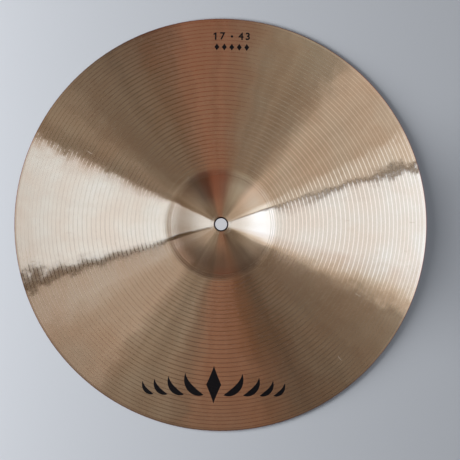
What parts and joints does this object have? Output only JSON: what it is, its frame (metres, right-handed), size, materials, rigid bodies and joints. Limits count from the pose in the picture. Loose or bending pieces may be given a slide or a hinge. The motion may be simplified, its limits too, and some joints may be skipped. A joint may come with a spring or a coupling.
{
  "type": "crash cymbal",
  "caption": "Round lathed bronze crash cymbal with a raised bell, a shallow curved bow, a centre mounting hole and small black printed marks near the edge.",
  "frame": {"origin": "on the cymbal's axis, in the plane of the rim's underside, where it rests when it lies bell up", "axes": "+Z along the cymbal's axis, out of the top of the bell; +Y towards the size print, so that both prints read upright seen from above with +Y up"},
  "size_m": [0.4318, 0.4318, 0.0411],
  "materials": {
    "bronze": "lathed B20 bronze with concentric tool grooves and hammer marks, semi-bright, lacquered",
    "ink": "black screen-printed ink, satin"
  },
  "bodies": {
    "root": {"cymbal": "bronze", "ink_lozenge": "ink", "ink_leaf_left_1": "ink", "ink_leaf_left_2": "ink", "ink_leaf_left_3": "ink", "ink_leaf_left_4": "ink", "ink_leaf_right_1": "ink", "ink_leaf_right_2": "ink", "ink_leaf_right_3": "ink", "ink_leaf_right_4": "ink", "ink_digit_one": "ink", "ink_digit_seven": "ink", "ink_dot": "ink", "ink_digit_four": "ink", "ink_digit_three": "ink", "ink_small_lozenge_1": "ink", "ink_small_lozenge_2": "ink", "ink_small_lozenge_3": "ink", "ink_small_lozenge_4": "ink", "ink_small_lozenge_5": "ink"}
  },
  "joints": []
}
